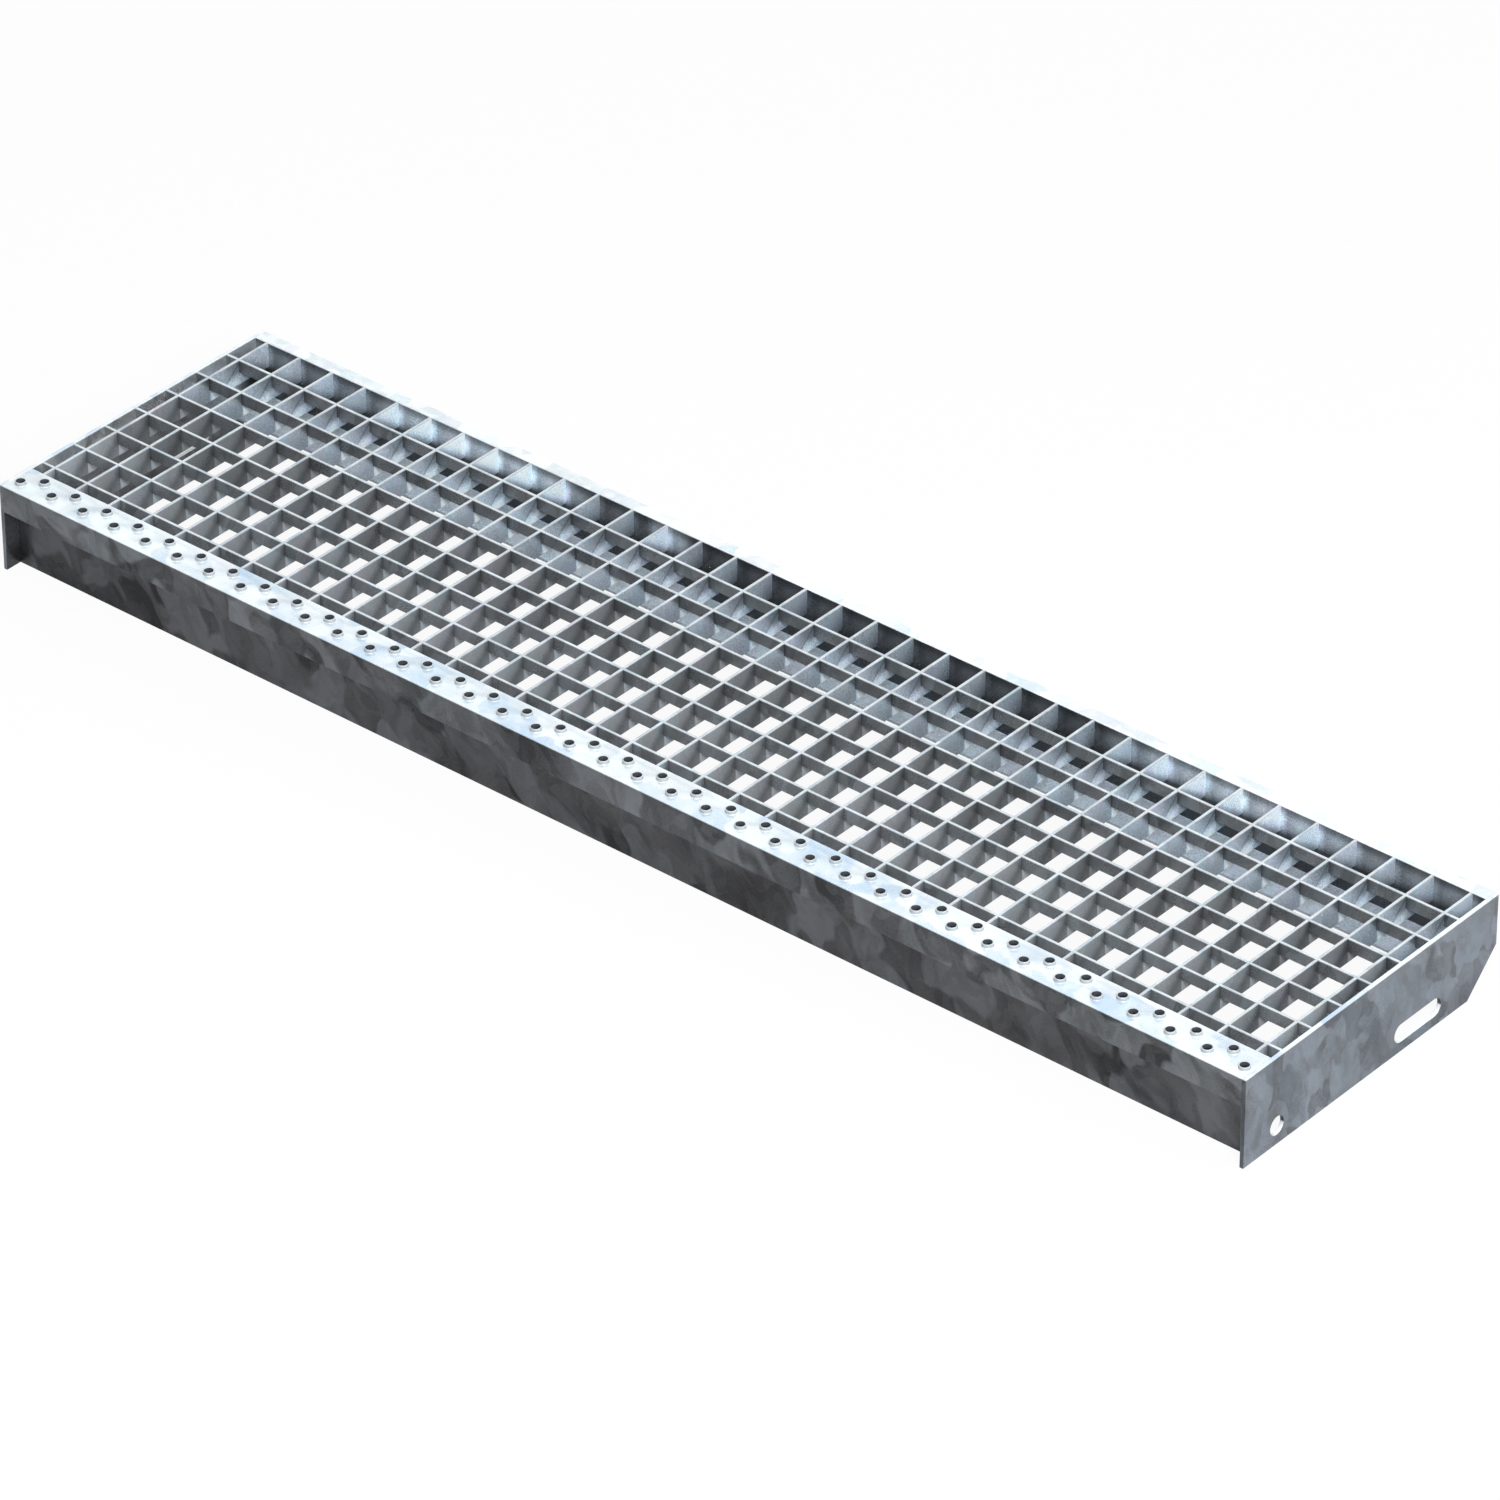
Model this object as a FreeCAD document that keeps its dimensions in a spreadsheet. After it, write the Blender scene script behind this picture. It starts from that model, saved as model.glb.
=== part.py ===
import math
import os

import FreeCAD
import Part
import Sketcher

# Pressed steel grating stair tread between two bolt-on end plates.
# The origin is the middle of the footprint at the foot of the end plates.
# +X runs along the tread, +Y from the nosing to the rear edge, +Z up.

# Driving dimensions, in millimetres
SIZES = {
    "tread_length": 1100,
    "tread_depth": 270,
    "tread_height": 70,
    "end_plate_thickness": 3,
    "corner_cut": 30,
    "bolt_hole_diameter": 14,
    "bolt_hole_setback": 35,
    "bolt_hole_drop": 55,
    "bolt_spacing": 150,
    "slot_width": 14,
    "slot_length": 50,
    "nosing_width": 30,
    "nosing_drop": 22,
    "nosing_thickness": 2,
    "nosing_edge_radius": 1,
    "collar_diameter": 7.8,
    "collar_hole_diameter": 6.3,
    "collar_rise": 3,
    "collar_pitch": 30,
    "collar_stagger": 13.5,
    "collar_first": 8.2,
    "collar_row_setback": 10,
    "collar_row_spacing": 10,
    "collar_end_margin": 5,
    "front_plate_setback": 13.5,
    "front_plate_thickness": 3,
    "rear_plate_height": 47,
    "rear_plate_thickness": 2,
    "rear_top_flange": 10,
    "rear_bottom_flange": 38,
    "rear_fold_radius": 1,
    "bearing_bar_height": 20,
    "bearing_bar_thickness": 2,
    "bearing_bar_pitch": 31.5,
    "bearing_bar_end_gap": 4,
    "cross_bar_height": 10,
    "cross_bar_thickness": 2,
    "cross_bar_pitch": 31.5,
    "cross_bar_setback": 11,
    "cross_bar_rear_gap": 10,
}

# A raised hole is only a few millimetres wide, so a regular prism stands for its round wall.
COLLAR_SIDES = 10

# Places worked out from the driving dimensions, as expressions
INNER_LENGTH = "(sizes.tread_length - 2 * sizes.end_plate_thickness)"
INNER_LEFT = f"-{INNER_LENGTH} / 2"
FRONT = "-sizes.tread_depth / 2"
WEB_FROM_FRONT = "(sizes.tread_depth - sizes.rear_top_flange)"
PLATE_BACK_FROM_FRONT = "(sizes.front_plate_setback + sizes.front_plate_thickness)"
CROSS_BAR_FROM_FRONT = "(sizes.nosing_width + sizes.cross_bar_setback)"
BAR_RUN = f"({INNER_LENGTH} - 2 * sizes.bearing_bar_end_gap - sizes.bearing_bar_thickness)"
CROSS_BAR_RUN = f"({WEB_FROM_FRONT} - sizes.cross_bar_rear_gap - {CROSS_BAR_FROM_FRONT})"
COLLAR_RUN = f"({INNER_LENGTH} - sizes.collar_end_margin)"
REAR_COLLAR_FIRST = "(sizes.collar_first + sizes.collar_stagger)"
COLLAR_LEVEL = "sizes.nosing_drop"

ORIGIN_POINT = (-1, 1)
QUARTER_TURN = math.pi / 2
SAME_POINT = 1e-6

doc = FreeCAD.newDocument("stair_tread")
sheet = doc.addObject("Spreadsheet::Sheet", "sizes")
for row, (alias, size) in enumerate(SIZES.items(), 1):
    sheet.set(f"A{row}", alias)
    sheet.set(f"B{row}", str(size))
    sheet.setAlias(f"B{row}", alias)
doc.recompute()

subparts = []


def value(expression):
    """The present value of an expression in the sheet's sizes."""
    return float(sheet.evalExpression(expression))


def repeats(run, pitch):
    """How many pieces at a pitch fit in a run, with one at its start."""
    return int(value(f"floor({run} / {pitch})")) + 1


def place(item, x, y, z):
    """Ties an object's position to three expressions."""
    item.setExpression("Placement.Base.x", x)
    item.setExpression("Placement.Base.y", y)
    item.setExpression("Placement.Base.z", z)


def new_body(label, x, y, z):
    """An empty body at a place, which becomes one piece of the tread."""
    body = doc.addObject("PartDesign::Body", label)
    body.Label = label
    place(body, x, y, z)
    subparts.append(body)
    return body


def origin_feature(body, role):
    """One of a body's own base planes or axes."""
    return next(f for f in body.Origin.OriginFeatures if f.Role == role)


def side_sketch(body, name):
    """A sketch across the tread: its axes are the body's Y and Z, and its normal is X."""
    sketch = body.newObject("Sketcher::SketchObject", name)
    sketch.AttachmentSupport = [(origin_feature(body, "YZ_Plane"), "")]
    sketch.MapMode = "FlatFace"
    return sketch


def constrain(sketch, constraint, expression):
    """Adds a dimension to a sketch and ties it to an expression."""
    index = sketch.addConstraint(constraint)
    sketch.setExpression(f"Constraints[{index}]", expression)


def locate(sketch, point, y, z):
    """Fixes a sketch point's two coordinates from the sketch's origin."""
    constrain(sketch, Sketcher.Constraint("DistanceX", *ORIGIN_POINT, *point, value(y)), y)
    constrain(sketch, Sketcher.Constraint("DistanceY", *ORIGIN_POINT, *point, value(z)), z)


def draw_outline(sketch, corners):
    """A closed outline of straight edges through corners given as expressions."""
    points = [FreeCAD.Vector(value(y), value(z), 0) for y, z in corners]
    count = len(points)
    for i, start in enumerate(points):
        sketch.addGeometry(Part.LineSegment(start, points[(i + 1) % count]))
    for i in range(count):
        sketch.addConstraint(Sketcher.Constraint("Coincident", i, 2, (i + 1) % count, 1))
    for i, (y, z) in enumerate(corners):
        locate(sketch, (i, 1), y, z)


def pad(body, sketch, length):
    """Extrudes a side sketch along +X."""
    feature = body.newObject("PartDesign::Pad", f"{sketch.Name}_pad")
    feature.Profile = sketch
    feature.setExpression("Length", length)
    sketch.Visibility = False
    return feature


def pocket(body, sketch, length):
    """Cuts a side sketch along +X."""
    feature = body.newObject("PartDesign::Pocket", f"{sketch.Name}_cut")
    feature.Profile = sketch
    feature.Reversed = True
    feature.setExpression("Length", length)
    sketch.Visibility = False
    return feature


def pattern(body, features, axis, pitch, count):
    """Repeats features along one of the body's axes."""
    feature = body.newObject("PartDesign::LinearPattern", "row")
    feature.Originals = features
    feature.Direction = (origin_feature(body, axis), [""])
    feature.Mode = "Spacing"
    feature.setExpression("Offset", pitch)
    feature.Occurrences = count
    body.Tip = feature
    return feature


def long_edges(shape, places):
    """Names of the edges along X that pass through the given (y, z) places."""
    names = []
    for number, edge in enumerate(shape.Edges, 1):
        start, end = (vertex.Point for vertex in edge.Vertexes)
        for y, z in places:
            corner = FreeCAD.Vector(start.x, y, z)
            far = FreeCAD.Vector(end.x, y, z)
            if start.isEqual(corner, SAME_POINT) and end.isEqual(far, SAME_POINT):
                names.append(f"Edge{number}")
    return names


def round_edges(body, base, corners, radius):
    """Rounds the lengthwise edges of a padded profile at the given corners."""
    doc.recompute()
    places = [(value(y), value(z)) for y, z in corners]
    feature = body.newObject("PartDesign::Fillet", "folds")
    feature.Base = (base, long_edges(base.Shape, places))
    feature.setExpression("Radius", radius)
    body.Tip = feature
    return feature


def round_hole(body, y, z):
    """Cuts the round bolt hole in an end plate."""
    sketch = side_sketch(body, "bolt_hole")
    radius = value("sizes.bolt_hole_diameter / 2")
    centre = FreeCAD.Vector(value(y), value(z), 0)
    sketch.addGeometry(Part.Circle(centre, FreeCAD.Vector(0, 0, 1), radius))
    locate(sketch, (0, 3), y, z)
    diameter = Sketcher.Constraint("Diameter", 0, 2 * radius)
    constrain(sketch, diameter, "sizes.bolt_hole_diameter")
    pocket(body, sketch, "sizes.end_plate_thickness")


def slotted_hole(body, y, z):
    """Cuts the slot in an end plate, long from front to rear."""
    sketch = side_sketch(body, "slot")
    half_run = "(sizes.slot_length - sizes.slot_width) / 2"
    radius = value("sizes.slot_width / 2")
    up = FreeCAD.Vector(0, 0, 1)
    front = FreeCAD.Vector(value(y) - value(half_run), value(z), 0)
    rear = FreeCAD.Vector(value(y) + value(half_run), value(z), 0)
    rise = FreeCAD.Vector(0, radius, 0)
    sketch.addGeometry(Part.ArcOfCircle(Part.Circle(front, up, radius), QUARTER_TURN, 3 * QUARTER_TURN))
    sketch.addGeometry(Part.LineSegment(front - rise, rear - rise))
    sketch.addGeometry(Part.ArcOfCircle(Part.Circle(rear, up, radius), -QUARTER_TURN, QUARTER_TURN))
    sketch.addGeometry(Part.LineSegment(rear + rise, front + rise))
    for first, second in ((0, 1), (1, 2), (2, 3), (3, 0)):
        sketch.addConstraint(Sketcher.Constraint("Tangent", first, 2, second, 1))
    locate(sketch, (0, 3), f"{y} - {half_run}", z)
    locate(sketch, (2, 3), f"{y} + {half_run}", z)
    constrain(sketch, Sketcher.Constraint("Radius", 0, radius), "sizes.slot_width / 2")
    pocket(body, sketch, "sizes.end_plate_thickness")


def end_plate(label, inner_side):
    """A plate that bolts to the stair's string, with its lower rear corner cut off."""
    body = new_body(label, inner_side, FRONT, "0")
    profile = side_sketch(body, "plate")
    draw_outline(profile, [
        ("0", "0"),
        ("sizes.tread_depth - sizes.corner_cut", "0"),
        ("sizes.tread_depth", "sizes.corner_cut"),
        ("sizes.tread_depth", "sizes.tread_height"),
        ("0", "sizes.tread_height"),
    ])
    pad(body, profile, "sizes.end_plate_thickness")
    hole_level = "sizes.tread_height - sizes.bolt_hole_drop"
    round_hole(body, "sizes.bolt_hole_setback", hole_level)
    slotted_hole(body, "sizes.bolt_hole_setback + sizes.bolt_spacing", hole_level)


def raised_holes(body, row_name, first, setback):
    """One row of open holes with upstanding collars along the top of the nosing."""
    collar = body.newObject("PartDesign::AdditivePrism", f"{row_name}_collar")
    collar.Polygon = COLLAR_SIDES
    collar.setExpression("Circumradius", "sizes.collar_diameter / 2")
    collar.setExpression("Height", "sizes.collar_rise")
    place(collar, first, setback, COLLAR_LEVEL)
    hole = body.newObject("PartDesign::SubtractivePrism", f"{row_name}_hole")
    hole.Polygon = COLLAR_SIDES
    hole.setExpression("Circumradius", "sizes.collar_hole_diameter / 2")
    hole.setExpression("Height", "sizes.collar_rise + sizes.nosing_thickness")
    place(hole, first, setback, f"{COLLAR_LEVEL} - sizes.nosing_thickness")
    count = repeats(f"({COLLAR_RUN} - {first})", "sizes.collar_pitch")
    pattern(body, [collar, hole], "X_Axis", "sizes.collar_pitch", count)


def nosing():
    """The angle along the front edge, with two staggered rows of raised holes."""
    body = new_body("nosing", INNER_LEFT, FRONT, "sizes.tread_height - sizes.nosing_drop")
    profile = side_sketch(body, "angle")
    under = "sizes.nosing_drop - sizes.nosing_thickness"
    draw_outline(profile, [
        ("0", "0"),
        ("sizes.nosing_thickness", "0"),
        ("sizes.nosing_thickness", under),
        ("sizes.nosing_width", under),
        ("sizes.nosing_width", "sizes.nosing_drop"),
        ("0", "sizes.nosing_drop"),
    ])
    angle = pad(body, profile, INNER_LENGTH)
    round_edges(body, angle, [("0", "sizes.nosing_drop")], "sizes.nosing_edge_radius")
    rear_row = "sizes.collar_row_setback + sizes.collar_row_spacing"
    raised_holes(body, "front", "sizes.collar_first", "sizes.collar_row_setback")
    raised_holes(body, "rear", REAR_COLLAR_FIRST, rear_row)


def front_plate():
    """The deep plate under the nosing that the bearing bars end on."""
    plate = doc.addObject("Part::Box", "front_plate")
    plate.Label = "front_plate"
    plate.setExpression("Length", INNER_LENGTH)
    plate.setExpression("Width", "sizes.front_plate_thickness")
    plate.setExpression("Height", "sizes.tread_height - sizes.nosing_thickness")
    place(plate, INNER_LEFT, f"{FRONT} + sizes.front_plate_setback", "0")
    subparts.append(plate)


def rear_plate():
    """The folded plate along the rear edge: top flange back, web, bottom flange forward."""
    inner_web = "(sizes.rear_bottom_flange - sizes.rear_plate_thickness)"
    rear_edge = f"{inner_web} + sizes.rear_top_flange"
    under = "sizes.rear_plate_height - sizes.rear_plate_thickness"
    front_edge = f"{FRONT} + {WEB_FROM_FRONT} - {inner_web}"
    level = "sizes.tread_height - sizes.rear_plate_height"
    body = new_body("rear_plate", INNER_LEFT, front_edge, level)
    profile = side_sketch(body, "fold")
    draw_outline(profile, [
        ("0", "0"),
        ("sizes.rear_bottom_flange", "0"),
        ("sizes.rear_bottom_flange", under),
        (rear_edge, under),
        (rear_edge, "sizes.rear_plate_height"),
        (inner_web, "sizes.rear_plate_height"),
        (inner_web, "sizes.rear_plate_thickness"),
        ("0", "sizes.rear_plate_thickness"),
    ])
    folded = pad(body, profile, INNER_LENGTH)
    outer_folds = [("sizes.rear_bottom_flange", "0"), (inner_web, "sizes.rear_plate_height")]
    round_edges(body, folded, outer_folds, "sizes.rear_fold_radius")


def bearing_bar(number, count, notch_count):
    """A deep bar from the front plate to the rear web, notched on top for the cross bars."""
    side = f"{number} * sizes.bearing_bar_pitch - sizes.bearing_bar_thickness / 2"
    left = f"{side} - {count - 1} * sizes.bearing_bar_pitch / 2"
    start = f"{FRONT} + {PLATE_BACK_FROM_FRONT}"
    level = "sizes.tread_height - sizes.bearing_bar_height"
    body = new_body(f"bearing_bar_{number + 1:02d}", left, start, level)
    length = f"{WEB_FROM_FRONT} - {PLATE_BACK_FROM_FRONT}"
    step = f"sizes.nosing_width - {PLATE_BACK_FROM_FRONT}"
    tongue = "sizes.bearing_bar_height - sizes.nosing_thickness"
    profile = side_sketch(body, "bar")
    draw_outline(profile, [
        ("0", "0"),
        (length, "0"),
        (length, "sizes.bearing_bar_height"),
        (step, "sizes.bearing_bar_height"),
        (step, tongue),
        ("0", tongue),
    ])
    pad(body, profile, "sizes.bearing_bar_thickness")
    notch = side_sketch(body, "notch")
    middle = f"{CROSS_BAR_FROM_FRONT} - {PLATE_BACK_FROM_FRONT}"
    near = f"{middle} - sizes.cross_bar_thickness / 2"
    far = f"{middle} + sizes.cross_bar_thickness / 2"
    floor = "sizes.bearing_bar_height - sizes.cross_bar_height"
    draw_outline(notch, [
        (near, floor),
        (far, floor),
        (far, "sizes.bearing_bar_height"),
        (near, "sizes.bearing_bar_height"),
    ])
    cut = pocket(body, notch, "sizes.bearing_bar_thickness")
    pattern(body, [cut], "Y_Axis", "sizes.cross_bar_pitch", notch_count)


def cross_bar(number):
    """A shallow bar along the tread, pressed into the notches of the bearing bars."""
    bar = doc.addObject("Part::Box", f"cross_bar_{number + 1}")
    bar.Label = f"cross_bar_{number + 1}"
    bar.setExpression("Length", INNER_LENGTH)
    bar.setExpression("Width", "sizes.cross_bar_thickness")
    bar.setExpression("Height", "sizes.cross_bar_height")
    middle = f"{FRONT} + {CROSS_BAR_FROM_FRONT} + {number} * sizes.cross_bar_pitch"
    level = "sizes.tread_height - sizes.cross_bar_height"
    place(bar, INNER_LEFT, f"{middle} - sizes.cross_bar_thickness / 2", level)
    subparts.append(bar)


def check_document():
    """Stops the build if any object failed or any piece has no valid shape."""
    for item in doc.Objects:
        if "Invalid" in item.State or "Error" in item.State:
            raise RuntimeError(f"{item.Label} failed: {item.State}")
    for piece in subparts:
        if piece.Shape.isNull() or not piece.Shape.isValid():
            raise RuntimeError(f"{piece.Label} has no valid shape")


end_plate("left_end_plate", "-sizes.tread_length / 2")
end_plate("right_end_plate", f"{INNER_LENGTH} / 2")
nosing()
front_plate()
rear_plate()
bar_count = repeats(BAR_RUN, "sizes.bearing_bar_pitch")
cross_bar_count = repeats(CROSS_BAR_RUN, "sizes.cross_bar_pitch")
for bar_number in range(bar_count):
    bearing_bar(bar_number, bar_count, cross_bar_count)
for bar_number in range(cross_bar_count):
    cross_bar(bar_number)

doc.recompute()
check_document()
os.makedirs("parts", exist_ok=True)
for piece in subparts:
    piece.Shape.exportStep(os.path.join("parts", f"{piece.Label}.step"))
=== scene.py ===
import math

import bmesh
import bpy
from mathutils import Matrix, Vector


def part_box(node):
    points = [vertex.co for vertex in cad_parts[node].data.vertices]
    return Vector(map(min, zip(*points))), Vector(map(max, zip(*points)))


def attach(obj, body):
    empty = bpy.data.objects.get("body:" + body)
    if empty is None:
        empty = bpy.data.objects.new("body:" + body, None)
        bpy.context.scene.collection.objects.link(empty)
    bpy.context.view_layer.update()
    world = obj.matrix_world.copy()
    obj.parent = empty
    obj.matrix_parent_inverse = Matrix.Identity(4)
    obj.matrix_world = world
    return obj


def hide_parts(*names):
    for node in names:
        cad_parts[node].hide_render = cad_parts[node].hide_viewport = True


# Galvanised grating stair tread: the frame's pieces with zinc materials, and a finer nosing.
# Lengths are in metres, in the frame of the CAD model. Tables of tones give places in millimetres.

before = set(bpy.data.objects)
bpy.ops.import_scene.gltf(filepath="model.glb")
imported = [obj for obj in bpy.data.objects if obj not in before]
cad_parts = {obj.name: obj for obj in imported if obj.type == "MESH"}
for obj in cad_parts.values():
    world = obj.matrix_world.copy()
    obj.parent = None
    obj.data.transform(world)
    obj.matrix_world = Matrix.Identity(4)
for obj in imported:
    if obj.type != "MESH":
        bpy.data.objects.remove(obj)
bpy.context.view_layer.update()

MM = 0.001
WHITE = (1.0, 1.0, 1.0, 1.0)

# The tread, as the CAD model has it
TREAD_TOP = 70 * MM
BAR_PITCH = 31.5 * MM
CROSS_BAR_START = -94 * MM
EDGE_SOFTENING = 0.25 * MM
SOFT_EDGE_ANGLE = 40
SAME_POINT = 0.001 * MM

# Nosing: the angle along the front edge. A row of holes is its first place, its setback and its count.
NOSING_THICKNESS = 2 * MM
NOSING_BEND = 1.4 * MM
NOSING_BEND_STEPS = 6
NOSING_SHARP_ANGLE = 38
COLLAR_PITCH = 30 * MM
FRONT_ROW = (8.2 * MM, 10 * MM, 37)
REAR_ROW = (21.7 * MM, 20 * MM, 36)

# Raised holes: a flared foot, a rolled rim and a rounded lip below
COLLAR_SIDES = 36
COLLAR_RISE = 3 * MM
COLLAR_RADIUS = 3.9 * MM
HOLE_RADIUS = 3.3 * MM
FLARE_RADIUS = 4.7 * MM
FLARE_LIFT = 1.3
FLARE_STEPS = 4
RIM_STEPS = 6
LIP_START = 0.6 * MM
LIP_RADIUS = 0.7 * MM
LIP_STEPS = 3

# Bolt holes in the end plates: a round one in front and a slot behind it
BOLT_RADIUS = 7 * MM
BOLT_HEIGHT = 15 * MM
BOLT_HOLE = -100 * MM
BOLT_SLOT = 50 * MM
BOLT_SLOT_REACH = 18 * MM

# Camera, from the photograph's perspective
CAMERA_PLACE = (3.3113, -3.8611, 3.4476)
CAMERA_TURN = (55.982, 0.211, 40.273)
CAMERA_LENS = 216.78
CAMERA_SENSOR = 36.0
CAMERA_REACH = 100.0


def link(item):
    bpy.context.scene.collection.objects.link(item)
    return item


def grey(tone):
    return (tone, tone, tone, 1.0)


class Nodes:
    """Short calls for building one material's node tree."""

    def __init__(self, tree):
        self.tree = tree

    def add(self, kind, **settings):
        node = self.tree.nodes.new(kind)
        for name, value in settings.items():
            setattr(node, name, value)
        return node

    def join(self, source, target):
        self.tree.links.new(source, target)

    def feed(self, socket, value):
        if isinstance(value, bpy.types.NodeSocket):
            self.join(value, socket)
        else:
            socket.default_value = value

    def math(self, operation, first, second):
        node = self.add("ShaderNodeMath", operation=operation)
        for socket, value in zip(node.inputs, (first, second)):
            self.feed(socket, value)
        return node.outputs[0]

    def distance(self, value):
        return self.math("ABSOLUTE", value, 0.0)

    def noise(self, vector, scale, detail=2.0, roughness=0.5):
        node = self.add("ShaderNodeTexNoise")
        self.join(vector, node.inputs["Vector"])
        node.inputs["Scale"].default_value = scale
        node.inputs["Detail"].default_value = detail
        node.inputs["Roughness"].default_value = roughness
        return node.outputs

    def cells(self, vector, scale, smoothness):
        """The colours of soft-edged cells, as separate channels."""
        node = self.add("ShaderNodeTexVoronoi", feature="SMOOTH_F1")
        node.inputs["Scale"].default_value = scale
        node.inputs["Smoothness"].default_value = smoothness
        self.join(vector, node.inputs["Vector"])
        channels = self.add("ShaderNodeSeparateColor")
        self.join(node.outputs["Color"], channels.inputs["Color"])
        return channels.outputs

    def ramp(self, factor, stops):
        node = self.add("ShaderNodeValToRGB")
        elements = node.color_ramp.elements
        while len(elements) < len(stops):
            elements.new(0.5)
        for element, (place, colour) in zip(elements, stops):
            element.position = place
            element.color = (*colour, 1.0)
        self.join(factor, node.inputs["Fac"])
        return node.outputs["Color"]

    def tone(self, value, stops, unit=MM):
        """A tone that runs through pairs of place and tone, with the places in a unit."""
        low, high = stops[0][0], stops[-1][0]
        shades = [((at - low) / (high - low), (tone,) * 3) for at, tone in stops]
        return self.ramp(self.span(value, low * unit, high * unit), shades)

    def span(self, value, low, high):
        """0 at low and 1 at high, and level outside them."""
        node = self.add("ShaderNodeMapRange")
        self.join(value, node.inputs["Value"])
        node.inputs["From Min"].default_value = low
        node.inputs["From Max"].default_value = high
        return node.outputs["Result"]

    def step(self, value, middle, width):
        """From 0 to 1 over a width around a place in millimetres. A negative width runs from 1 to 0."""
        return self.span(value, (middle - width / 2) * MM, (middle + width / 2) * MM)

    def blend(self, kind, factor, first, second, clamped=False):
        node = self.add("ShaderNodeMix", data_type="RGBA", blend_type=kind, clamp_result=clamped)
        self.feed(node.inputs["Factor"], factor)
        self.feed(node.inputs["A"], first)
        self.feed(node.inputs["B"], second)
        return node.outputs["Result"]

    def mix(self, factor, first, second):
        return self.blend("MIX", factor, first, second)

    def times(self, first, *others):
        for other in others:
            first = self.blend("MULTIPLY", 1.0, first, other)
        return first


# Zinc spangle: scales in patch lengths, and the weight of each layer in the tone
BEND_SCALE, BEND_DETAIL, BEND_ROUGHNESS, BEND_REACH = 0.9, 1.2, 0.45, 1.7
SHARD_SOFTNESS = 0.24
CRYSTAL_SCALE, CRYSTAL_SOFTNESS = 3.4, 0.2
CLOUD_SCALE = 0.5
GRAIN_SCALE, GRAIN_DETAIL, GRAIN_ROUGHNESS = 850.0, 3.0, 0.6
SHARD_WEIGHT, CLOUD_WEIGHT, CRYSTAL_WEIGHT, GRAIN_WEIGHT = 0.44, 0.62, 0.12, 0.26
SMOOTH_SHIFT, GRAINY_SHIFT = 0.09, 0.22


def spangle(n, coordinates, patch, stretch, lean, shift):
    """Hot-dip zinc, about 0 to 1: tone with and without grain, the bent shards' channels and the grain."""
    stretched = n.add("ShaderNodeMapping", vector_type="TEXTURE")
    stretched.inputs["Location"].default_value = shift
    stretched.inputs["Scale"].default_value = stretch
    stretched.inputs["Rotation"].default_value = [math.radians(a) for a in lean]
    n.join(coordinates, stretched.inputs["Vector"])
    vector = stretched.outputs["Vector"]

    # A slow noise bends the shards and crystals
    bend = n.noise(vector, BEND_SCALE / patch, BEND_DETAIL, BEND_ROUGHNESS)["Color"]
    centred = n.add("ShaderNodeVectorMath", operation="SUBTRACT")
    n.join(bend, centred.inputs[0])
    centred.inputs[1].default_value = (0.5, 0.5, 0.5)
    bent = n.add("ShaderNodeVectorMath", operation="MULTIPLY_ADD")
    n.join(centred.outputs["Vector"], bent.inputs[0])
    bent.inputs[1].default_value = (BEND_REACH * patch,) * 3
    n.join(vector, bent.inputs[2])
    shards = n.cells(bent.outputs["Vector"], 1.0 / patch, SHARD_SOFTNESS)
    crystals = n.cells(bent.outputs["Vector"], CRYSTAL_SCALE / patch, CRYSTAL_SOFTNESS)
    cloud = n.noise(vector, CLOUD_SCALE / patch)["Fac"]
    grain = n.noise(coordinates, GRAIN_SCALE, GRAIN_DETAIL, GRAIN_ROUGHNESS)["Fac"]

    layers = n.math("MULTIPLY", shards["Red"], SHARD_WEIGHT)
    layers = n.math("ADD", layers, n.math("MULTIPLY", cloud, CLOUD_WEIGHT))
    layers = n.math("ADD", layers, n.math("MULTIPLY", crystals["Red"], CRYSTAL_WEIGHT))
    smooth = n.math("SUBTRACT", layers, SMOOTH_SHIFT)
    layers = n.math("ADD", layers, n.math("MULTIPLY", grain, GRAIN_WEIGHT))
    return n.math("SUBTRACT", layers, GRAINY_SHIFT), smooth, shards, grain


# Zinc colours: where the tone is dark, plain and light, and the cast of single shards
TONE_DARK, TONE_PLAIN, TONE_LIGHT = 0.22, 0.5, 0.78
LIGHT_CAST = (0.97, 1.0, 1.03)
SHARD_CAST = ((0.15, (1.0, 0.985, 1.035)), (0.5, (1.0, 1.0, 1.0)), (0.85, (0.94, 1.0, 1.03)))
EVEN = (1.0, 1.0, 1.0)

# Painted light on the upper edges, which face the lamps: bright and dull, with bluish patina. Depths are
# below the top.
LIT_TOP_START, LIT_TOP_FULL = 1.0 * MM, 0.4 * MM
LIT_TOP_METAL = 0.35
LIT_TOP_CONTRAST = 0.17
BLUE_PATINA = (1.9, 1.2, 0.35)

# Raised holes: grey at the foot and dark inside, painted shade, and paler at the rim, painted light. Heights
# are above the top.
COLLAR_FADE = (0.05 * MM, 0.4 * MM)
COLLAR_FOOT = 0.15 * MM
COLLAR_WALL_SHADING = ((0.0, (0.50, 0.53, 0.55)), (0.5, (0.43, 0.46, 0.48)), (0.95, (0.56, 0.60, 0.62)))
HOLE_SHADE = (0.075, 0.085, 0.10, 1.0)
COLLAR_DULL = (0.1 * MM, 0.6 * MM)
COLLAR_ROUGHNESS = 0.42

# Walls of the bolt holes: painted light below, where light falls on them, and painted shade above
BOLT_WALL_SHADING = ((0.0, (0.95, 0.97, 0.98)), (0.38, (0.80, 0.82, 0.84)), (0.48, (0.05, 0.05, 0.06)))
BOLT_WALL_EDGE = (0.25 * MM, 0.1 * MM)

# Roughness and relief
SHARD_ROUGHNESS, FINE_ROUGHNESS = 0.12, 0.16
RELIEF_SCALE, RELIEF_GRAIN = 55.0, 0.05
RELIEF_STRENGTH, RELIEF_DEPTH = 0.35, 0.35 * MM


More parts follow.
